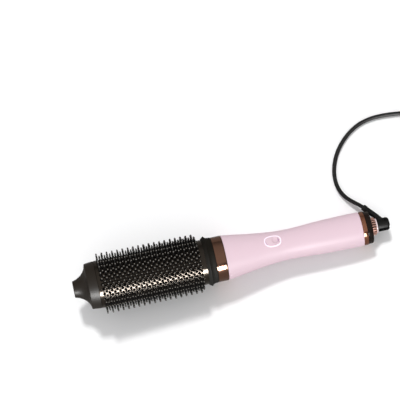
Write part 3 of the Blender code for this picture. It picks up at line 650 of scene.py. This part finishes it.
def add_barrel():
    """A thin sleeve of diamond cells with a vent in each, and a plain stretch at each end."""
    ring = vent_ring()
    points, faces = [], []
    for half_row in range(2 * ROWS):
        for column in range(COLUMNS):
            add_grid(points, faces, vent_cell(ring, half_row, column))
    shares = [cell[1] for cell, vent in ring[:VENT_POINTS // 4 + 1]]
    shares = [-share for share in shares[:0:-1]] + shares
    last = FIRST_COLUMN + PITCH * COLUMNS
    add_barrel_end(points, faces, shares, FIRST_COLUMN - HALF_PITCH, FIRST_COLUMN, BARREL_START, 1)
    add_barrel_end(points, faces, shares, last, last - HALF_PITCH, BARREL_END, 0)
    barrel = solid("vented_barrel", points, faces, TOOL)
    publish(barrel, BRONZE, "housing", "bronze_metal", "barrel_sleeve", angle=30)


def bristle_template(length, foot_r, neck_r, ball_r, sides=8):
    """One bristle along Z as (points, faces, painted highlight share of each point, 1 on the ball tip)."""
    ball = [(length - ball_r * (1 - math.sin(a)), ball_r * math.cos(a))
            for a in np.radians([-35, 0, 35, 65])]
    profile = [(0, foot_r), (length * 0.35, foot_r * 0.88), (length * 0.6, foot_r * 0.65),
               (length - ball_r * 2.2, neck_r), *ball]
    turn = [math.tau * i / sides for i in range(sides)]
    points, faces = [], []
    add_grid(points, faces, [[(r * math.cos(a), r * math.sin(a), z) for a in turn] for z, r in profile])
    tips = [1.0 if z > length - ball_r * 0.5 else 0.0 for x, y, z in points] + [0.0, 1.0]
    last_ring = len(points) - sides
    foot, top = len(points), len(points) + 1
    points += [(0, 0, 0), (0, 0, length)]
    for i in range(sides):
        j = (i + 1) % sides
        faces += [(foot, j, i), (top, last_ring + i, last_ring + j)]
    return np.array(points), faces, tips


def turned(points, half_row):
    """Points turned about the axis from the tool's upper side to a half row."""
    return points @ np.array(Matrix.Rotation(-math.pi * half_row / ROWS, 3, "X")).T


def lean(axis):
    return Matrix.Rotation(math.radians(RNG.uniform(-LEAN_DEGREES, LEAN_DEGREES)), 3, axis)


def bristle(half_row, column):
    """The bristle of one vent in the tool's frame, a little shorter and askew by chance."""
    phase = row_phase(half_row)
    front, rear = SHORT_TIPS if phase else LONG_TIPS
    thickness = SHORT_THICKNESS if phase else 1.0
    length = front + (rear - front) * (column / (COLUMNS - 1)) - BRISTLE_FOOT - RNG.random() * LENGTH_SPREAD
    points, faces, tips = bristle_template(length, *[radius * thickness for radius in BRISTLE_RADII])
    askew = points @ np.array(lean("X") @ lean("Y")).T + (0, 0, BRISTLE_FOOT)
    station = FIRST_COLUMN + PITCH * (column + phase)
    return turned(askew, half_row) + (station, 0, 0), faces, tips


def add_strip(index):
    """Half rows of bristles on the bar that holds them inside the barrel."""
    points, faces, tips = [], [], []
    first = index * HALF_ROWS_PER_STRIP - HALF_ROWS_PER_STRIP // 2
    for half_row in range(first, first + HALF_ROWS_PER_STRIP):
        for column in range(COLUMNS):
            placed, sides, tip = bristle(half_row, column)
            faces += [tuple(i + len(points) for i in face) for face in sides]
            points += placed.tolist()
            tips += tip
    start = len(points)
    section = rectangle(BAR_START, -BAR_HALF_WIDTH, BAR_END, BAR_HALF_WIDTH)
    middle = first + (HALF_ROWS_PER_STRIP - 1) / 2
    add_grid(points, faces, [[turned(np.array((x, y, z)), middle).tolist() for x, y in section]
                             for z in (BAR_LOW, BAR_HIGH)])
    faces += [tuple(start + i for i in face) for face in ((0, 3, 2, 1), (4, 5, 6, 7))]
    tips += [0.0] * (len(points) - start)
    strip = raw_mesh(f"bristles_{index + 1:02d}", points, faces, TOOL)
    set_tips(strip, tips)
    publish(strip, BRISTLE, "housing", "bristle_nylon", f"bristle_strip_{index + 1:02d}", angle=50)


# ---------------------------------------------------------------- collars and handle

def add_band(name, node, given, slot, outline, steps=4):
    """A ring of the housing, turned from its outline of (station, radius, rounding)."""
    publish(lathe(name, rounded(outline, steps)), given, "housing", slot, node)


def add_collars():
    add_band("guard_band", "guard_ring", RUBBER, "guard_rubber",
             [(GUARD_START, 25.1, 0), (GUARD_START, 25.6, 0.3), (GUARD_RIDGE - 1.2, 27.3, 0.8),
              (GUARD_RIDGE, RIDGE_R, 0.35), (GUARD_RIDGE + 1, 26.5, 0.5), (GUARD_RIDGE + 3, 25.5, 1),
              (GUARD_END, 25.2, 0.35), (GUARD_END, 22.5, 0), (BARREL_END + GAP, 22.5, 0),
              (BARREL_END + GAP, 25.1, 0)])
    start = GUARD_END + GAP
    add_band("front_band", "front_collar", COPPER, "copper_metal",
             [(start, 22.5, 0), (start, BAND_R, 0.35), (COLLAR_END, BAND_R, 0.35), (COLLAR_END, 22.5, 0)])
    start = HANDLE_END + GAP
    # The rear ring takes the lighter copper, with its painted light.
    add_band("rear_band", "rear_trim_ring", LIT_TRIM_COPPER, "copper_metal",
             [(start, 16.6, 0), (start, 18.1, 0.2), (start + 1.0, 18.3, 0.2), (start + 1.5, TRIM_R, 0.3),
              (TRIM_END, TRIM_R, 0.4), (TRIM_END, 16.6, 0)])


def button_prism(name, half, low, high, grown=0.0):
    """An oval block at the button, grown by a gap all round."""
    outline = oval(half[0] + grown, half[1] + grown, centre=(BUTTON_STATION, 0))
    return prism(name, outline, low, high, BUTTON_SIDE)


def handle_surface(name, offset):
    """A block shaped like the handle near the button, bigger by offset all round."""
    stations = np.linspace(208, 240, 60)
    outline = [(208, 0), *[(s, handle_radius(s) + offset) for s in stations], (240, 0)]
    return lathe(name, outline, BUTTON_SIDE, 240)


def add_sleeve():
    front_r, rear_r = handle_radius(HANDLE_START), handle_radius(HANDLE_END)
    front = [(HANDLE_START, front_r - 0.35), (HANDLE_START + 0.12, front_r - 0.1),
             (HANDLE_START + 0.4, handle_radius(HANDLE_START + 0.4))]
    outer = [(s, handle_radius(s)) for s in np.linspace(HANDLE_START, HANDLE_END, 150)[1:-1]]
    rear = [(HANDLE_END - 0.35, rear_r), (HANDLE_END - 0.1, rear_r - 0.1), (HANDLE_END, rear_r - 0.3)]
    inner = [(s, handle_radius(s) - HANDLE_WALL) for s in np.linspace(HANDLE_END, HANDLE_START, 40)]
    sleeve = lathe("pink_sleeve", [*front, *outer, *rear, *inner], BUTTON_SIDE, 240)
    combine(sleeve, button_prism("opening", LIGHT_HALF, 8, 25, OPENING_GAP), "DIFFERENCE")
    publish(sleeve, PINK, "housing", "pink_shell", "handle_sleeve", angle=30)


def add_light_band():
    light = button_prism("light_band", LIGHT_HALF, BUTTON_LOW, BUTTON_HIGH)
    combine(light, button_prism("inside", BUTTON_HALF, 10, 25, GAP), "DIFFERENCE")
    combine(light, handle_surface("surface", LIGHT_RISE), "INTERSECT")
    soften(light, 0.18, 3, 50)
    publish(light, LIGHT, "housing", "light_guide", "light_ring", angle=40)


def add_button():
    button = button_prism("thumb_button", BUTTON_HALF, BUTTON_LOW, BUTTON_HIGH)
    combine(button, handle_surface("surface", BUTTON_RISE), "INTERSECT")
    arc = [(DIMPLE_R * (1 - math.cos(a)), DIMPLE_R * math.sin(a)) for a in np.linspace(0, math.pi, 40)]
    outline = [(0, 0), *arc[1:-1], (2 * DIMPLE_R, 0)]
    start = BUTTON_STATION + DIMPLE_BEHIND - DIMPLE_R
    ball = lathe("dish", [(s + start, r) for s, r in outline], BUTTON_SIDE, 80)
    lift = BUTTON_SIDE.to_3x3() @ Vector((0, 0, DIMPLE_HEIGHT)) * MM
    ball.data.transform(Matrix.Translation(lift))
    combine(button, ball, "DIFFERENCE")
    soften(button, 0.3, 3, 35)
    publish(button, BUTTON_PINK, "button", "pink_shell", "power_button", angle=40)


# ---------------------------------------------------------------- rear end and swivel

def add_end_cap():
    start, back = TRIM_END + GAP, 334.1
    outline = [(start, 16.9, 0), (start, CAP_R, 0.25), (CAP_END, CAP_R - 0.4, 1.3), (CAP_END, 10.4, 0.2),
               (CAP_END - 0.5, 10.2, 0.2), (CAP_END - 0.5, BORE_R, 0), (back, BORE_R, 0), (back, 16.9, 0)]
    cap = lathe("rear_cap", rounded(outline, 6), TOOL, 144)
    along = Matrix(((0, 0, 1, 0), (0, 1, 0, 0), (1, 0, 0, 0), (0, 0, 0, 1)))
    slots = []
    for i in range(AIR_SLOTS):
        turn = TOOL @ Matrix.Rotation(math.tau * i / AIR_SLOTS, 4, "X") @ along
        slots.append(prism("slot", rectangle(*AIR_SLOT, 1.15), 331, 338, turn))
    combine(cap, united(slots), "DIFFERENCE")
    publish(cap, GLOSS, "housing", "gloss_black", "end_cap")


def add_ribbed_collar():
    """A collar with rounded ribs along it. Its tip attribute is 1 on the ribs and 0 between them, where the
    material paints shade.
    """
    start, end, count = CAP_END + GAP, CORD_COLLAR_END, RIBS * POINTS_PER_RIB
    angles = [i / count * math.tau for i in range(count)]
    waves = [0.5 - 0.5 * math.cos(math.tau * (i / POINTS_PER_RIB % 1)) for i in range(count)]
    heights = [ease((wave - 0.2) / 0.5) for wave in waves]
    radii = [RIB_FLOOR_R + (CORD_COLLAR_R - RIB_FLOOR_R) * height for height in heights]
    sections = [(start, 0.9), (start + 0.25, 0.97), (start + 0.6, 1.0), (end - 0.7, 1.0),
                (end - 0.25, 0.96), (end, 0.88)]
    rows = [[(s, r * scale * math.sin(a), r * scale * math.cos(a)) for a, r in zip(angles, radii)]
            for s, scale in sections]
    rows += [[(s, BORE_R * math.sin(a), BORE_R * math.cos(a)) for a in angles] for s in (end, start)]
    points, faces = [], []
    add_grid(points, faces, rows, looped=True)
    collar = solid("ribbed_collar", points, faces, TOOL)
    set_tips(collar, heights * len(rows))
    publish(collar, RIB_COPPER, "housing", "copper_metal", "cord_collar", angle=40)


def add_bright_rim():
    start = CORD_COLLAR_END + GAP
    # The rim is coloured with the painted highlight's lighter pink.
    add_band("bright_rim", "collar_rim", LIT_RIM_PINK, "pink_shell",
             [(start, BORE_R, 0), (start, RIM_R, 0.6), (RIM_END, RIM_R, 0.6), (RIM_END, BORE_R, 0)], 6)


def pin_hole(half_length):
    """A cutter for the hole the pin goes through."""
    radius = PIN_R + PIN_PLAY
    outline = [(-half_length, 0), (-half_length, radius), (half_length, radius), (half_length, 0)]
    return lathe("bore", outline, PIN_FRAME, 48)


def add_fork():
    start, half = RIM_END + GAP, FORK_WIDTH / 2
    body = [(329.3, 0, 0), (329.3, SHAFT_R, 0.3), (start, SHAFT_R, 0), (start, SWIVEL_R, 0.5),
            (TOOL_END, SWIVEL_R, 3.0), (TOOL_END, 0, 0)]
    fork = lathe("swivel_body", rounded(body, 8), SWIVEL, 120)
    combine(fork, prism("slot", rectangle(FORK_START, -20, 370, 20), -half, half, SWIVEL), "DIFFERENCE")
    combine(fork, pin_hole(20), "DIFFERENCE")
    soften(fork, 0.35, 3, 45)
    publish(fork, BLACK, "swivel", "black_plastic", "swivel_fork", angle=40)
    pin = rounded([(-6.5, 0, 0), (-6.5, PIN_R, 0.3), (6.5, PIN_R, 0.3), (6.5, 0, 0)])
    publish(lathe("hinge_pin", pin, PIN_FRAME, 48), DARK_STEEL, "swivel", "steel", "pivot_pin")


def arm_outline(reach):
    """The arm's outline from the pin to the cord: a thin root, grooves, and a shoulder with a mouth."""
    outline = [(0, 0), (0, ARM_ROOT_R), (9.5, ARM_ROOT_R), (10.5, ARM_R), (reach - 10.5, ARM_R)]
    for i in range(GROOVES):
        s = reach - 10.0 + i * GROOVE_PITCH
        outline += [(s, 3.15), (s + 0.1, 2.6), (s + 0.5, 2.6), (s + 0.6, 3.15)]
    outline += [(reach - 4.2, 3.15), (reach - 3.7, ARM_END_R), (reach - 0.5, 3.55), (reach, 3.0),
                (reach, 2.35), (reach - 2.0, 2.35), (reach - 2.0, 0)]
    return outline


def add_arm():
    eye = FORK_WIDTH / 2 - GAP
    arm = lathe("folding_arm", rounded([(-eye, 0, 0), (-eye, EYE_R, 0.5), (eye, EYE_R, 0.5), (eye, 0, 0)]),
                PIN_FRAME, 72)
    along = Vector(CORD_ROUTE[0]) * MM - PIVOT
    direction = along.normalized()
    third = direction.cross((SWIVEL.to_3x3() @ Vector((0, 0, 1))).normalized()).normalized()
    boom_frame = frame_at(PIVOT, direction, third, third.cross(direction))
    reach = along.length / MM + ARM_PAST_LEAD
    combine(arm, lathe("boom", arm_outline(reach), boom_frame, 72), "UNION")
    combine(arm, pin_hole(9), "DIFFERENCE")
    publish(arm, CORD_BLACK, "cord_lead", "cord_rubber", "cord_arm", angle=40)


# ---------------------------------------------------------------- cord, tie and plug

def plug_grips():
    """Cutters for the grip grooves down both sides of the plug."""
    grips = []
    for side in (-1, 1):
        for i in range(GRIPS):
            x, y = PLUG_X + side * (17.9 - i * 0.9), PLUG_FACE_Y + 9 + i * 2.6
            outline = rectangle(x - 1.4, y - 0.45, x + 1.4, y + 0.45)
            grips.append(prism("grip", outline, PLUG_MIDDLE - 5.5, PLUG_MIDDLE + 5.5, Matrix()))
    return united(grips)


def add_plug_body():
    loops = []
    for y, half_width, half_height in PLUG_SECTIONS:
        section = oval(half_width, half_height, power=3.2, count=72)
        loops.append([(PLUG_X + x, PLUG_FACE_Y + y, PLUG_MIDDLE + z) for x, z in section])
    body = loft("plug_shell", loops, Matrix())
    combine(body, plug_grips(), "DIFFERENCE")
    return publish(body, BLACK, "cord_lead", "black_plastic", "plug_body", angle=40)


def add_relief(plug_frame):
    """The plug's ribbed sleeve, which the cord goes into."""
    start, end = PLUG_LENGTH + GAP, PLUG_LENGTH + RELIEF_LENGTH
    outline = [(start, 0), (start, RELIEF_R)]
    for i in range(RELIEF_RINGS):
        s = start + 1.6 + i * 2.7
        radius = RELIEF_R - RELIEF_TAPER * (s - start) / (end - start)
        outline += [(s, radius), (s + 0.15, radius - 0.9), (s + 1.0, radius - 1.0), (s + 1.15, radius - 0.1)]
    outline += [(end - 0.4, 3.1), (end, 2.7), (end, 2.1), (end - 3, 2.1), (end - 3, 0)]
    relief = lathe("plug_sleeve", outline, plug_frame, 64)
    return publish(relief, CORD_BLACK, "cord_lead", "cord_rubber", "plug_relief", angle=40)


def add_pin(plug_frame, letter, side):
    """One plug pin: a plastic sleeve, then bare metal."""
    place = plug_frame @ Matrix.Translation(Vector((0, side * PIN_SPACING / 2, 0)) * MM)
    sleeve = rounded([(-GAP, 0, 0), (-GAP, 2.4, 0), (-10, 2.3, 0.2), (-10, 0, 0)])
    metal = rounded([(-10.05, 0, 0), (-10.05, 2.35, 0.1), (-19, 2.25, 1.6), (-19, 0, 0)], 6)
    sleeve = lathe(f"pin_sleeve_{letter}", sleeve, place, 48)
    publish(sleeve, BLACK, "cord_lead", "black_plastic")
    metal = lathe(f"pin_metal_{letter}", metal, place, 48)
    publish(metal, BRASS, "cord_lead", "steel", f"plug_pin_{letter}")
    return [sleeve, metal]


def add_plug():
    """A generic two-pin plug lying flat, with a ribbed relief."""
    face = Vector((PLUG_X, PLUG_FACE_Y, PLUG_MIDDLE)) * MM
    plug_frame = Matrix.Translation(face) @ Matrix.Rotation(math.pi / 2, 4, "Z")
    pieces = [add_plug_body(), add_relief(plug_frame)]
    return [*pieces, *add_pin(plug_frame, "a", -1), *add_pin(plug_frame, "b", 1)]


def add_tie():
    """A soft strap wrapped once round the coil, its free end lapped on top."""
    width, height = COIL_TURNS * CORD_D / 2, COIL_TURNS * CORD_D
    x0, x1 = COIL_MEAN_R - width - 1.2, COIL_MEAN_R + width + GAP
    z0, z1 = COIL_LIFT - GAP, COIL_LIFT + height + GAP
    middle = Matrix.Translation(Vector((*COIL_CENTRE, 0)) * MM)
    turn = middle @ Matrix.Rotation(TIE_TURN, 4, "Z") @ Matrix.Rotation(math.pi / 2, 4, "X")
    thick = TIE_THICKNESS
    outside = rectangle(x0 - thick, z0 - thick, x1 + thick, z1 + thick, 2.4, 6)
    tie = prism("tie_strap", outside, -TIE_HALF_WIDTH, TIE_HALF_WIDTH, turn)
    combine(tie, prism("inside", rectangle(x0, z0, x1, z1, 1.8, 6), -9, 9, turn), "DIFFERENCE")
    lap = rectangle(x0 + 3, z1 + 0.7, x1 - 2, z1 + 1.5, 0.3, 3)
    combine(tie, prism("lap", lap, 0.4 - TIE_HALF_WIDTH, TIE_HALF_WIDTH - 0.4, turn), "UNION")
    soften(tie, 0.2, 2, 50)
    return publish(tie, CORD_BLACK, "cord_lead", "cord_rubber", "cord_tie", angle=40)


def finish_cord(pieces):
    publish(CORD, CORD_BLACK, "cord_lead", "cord_rubber", "mains_cord", "cord_coil")


# ---------------------------------------------------------------- inner pieces, stage and light

def dress_inner_nodes():
    """CAD pieces inside the shell keep their shape and get a finish."""
    finishes = {
        BLACK: ["nose_hub", "strip_carrier", "coupling_tube", "chassis_left", "chassis_right",
                "tact_switch", "capacitor", "motor_end_bell", "impeller", "filter_screen"],
        STEEL: ["nose_screw", "chassis_screw_1", "chassis_screw_2", "heatsink", "thermostat",
                "motor_can", "motor_shaft", "motor_armature", "switch_plunger", "swivel_clip"],
        BOARD: ["control_board", "slip_disc"],
        MICA: ["mica_plate_a", "mica_plate_b", "mica_sleeve"],
        WIRE: ["heater_coil"],
        RUBBER: ["motor_mount"],
        LIT_RIM_PINK: ["thermal_fuse"],
    }
    for given, nodes in finishes.items():
        for node in nodes:
            obj = frame["nodes"][node]
            obj.data.materials.clear()
            obj.data.materials.append(given)


def add_floor():
    bpy.ops.mesh.primitive_plane_add(size=12, location=(0, 0, 0))
    floor = bpy.context.object
    floor.name = "floor"
    floor.data.materials.append(surface("floor_paper", (0.86, 0.86, 0.86), 0.7, patch=0.6, variation=0.01,
                                        grain=0.002, bump=0.01))
    floor.visible_glossy = False
    return floor


def add_area(name, elevation, distance, size, power):
    """A rectangular light over the near side, facing the origin."""
    data = bpy.data.lights.new(name, "AREA")
    data.shape = "RECTANGLE"
    data.size, data.size_y = size
    data.energy = power
    light = link(name, data)
    out = from_near_side(elevation)
    light.location = out * distance
    light.rotation_euler = out.to_track_quat("Z", "Y").to_euler()
    return light


def light_only(light, name, objects):
    """Keep a light to the given objects; everything still casts a shadow."""
    receivers = bpy.data.collections.new(name)
    for obj in objects:
        receivers.objects.link(obj)
    light.light_linking.receiver_collection = receivers
    light.visible_glossy = False


def add_world():
    """An even sky that lights the pieces, and the graded one that polished pieces mirror."""
    world = bpy.data.worlds.new("studio")
    bpy.context.scene.world = world
    world.use_nodes = True
    tree = world.node_tree
    place = add_node(tree, "ShaderNodeTexCoord")
    split = add_node(tree, "ShaderNodeSeparateXYZ", {0: place.outputs["Generated"]})
    near = add_node(tree, "ShaderNodeMath", {0: split.outputs["Y"], 1: -1.0}, operation="MULTIPLY")
    angle = add_node(tree, "ShaderNodeMath", {0: split.outputs["Z"], 1: near.outputs[0]},
                     operation="ARCTAN2")
    share = add_node(tree, "ShaderNodeMath", {0: angle.outputs[0], 1: math.pi}, operation="DIVIDE")
    ramp = add_node(tree, "ShaderNodeValToRGB", {0: share.outputs[0]})
    stops = ramp.color_ramp.elements
    while len(stops) < len(REFLECTED):
        stops.new(0.5)
    for stop, (at, level) in zip(stops, REFLECTED):
        stop.position = at
        stop.color = (*[level * tint for tint in REFLECTED_TINT], 1)
    path = add_node(tree, "ShaderNodeLightPath")
    sky = mixed(tree, path.outputs["Is Glossy Ray"], SKY, ramp.outputs["Color"])
    connect(tree, tree.nodes["Background"], {"Color": sky})


def add_lights(floor):
    product = [obj for obj in bpy.data.objects if obj.type in ("MESH", "CURVE") and obj != floor]
    strip = add_area("strip", STRIP_ELEVATION, STRIP_DISTANCE, STRIP_SIZE, STRIP_POWER)
    strip.location.x = STRIP_X
    strip.visible_diffuse = False
    light_only(add_area("key", KEY_ELEVATION, KEY_DISTANCE, KEY_SIZE, KEY_POWER), "lit_by_key", product)
    sun_data = bpy.data.lights.new("shadow_sun", "SUN")
    sun_data.energy, sun_data.angle = SUN_POWER, SUN_SPREAD
    sun = link("shadow_sun", sun_data)
    sun.rotation_euler = Vector(SUN_FROM).to_track_quat("Z", "Y").to_euler()
    light_only(sun, "lit_by_sun", [floor])


add_nose()
add_barrel()
for strip_index in range(STRIPS):
    add_strip(strip_index)
add_collars()
add_sleeve()
add_light_band()
add_button()
add_end_cap()
add_ribbed_collar()
add_bright_rim()
add_fork()
add_arm()
finish_cord([add_tie(), *add_plug()])
dress_inner_nodes()
add_lights(add_floor())
add_world()
bpy.context.scene.view_settings.view_transform = "Standard"
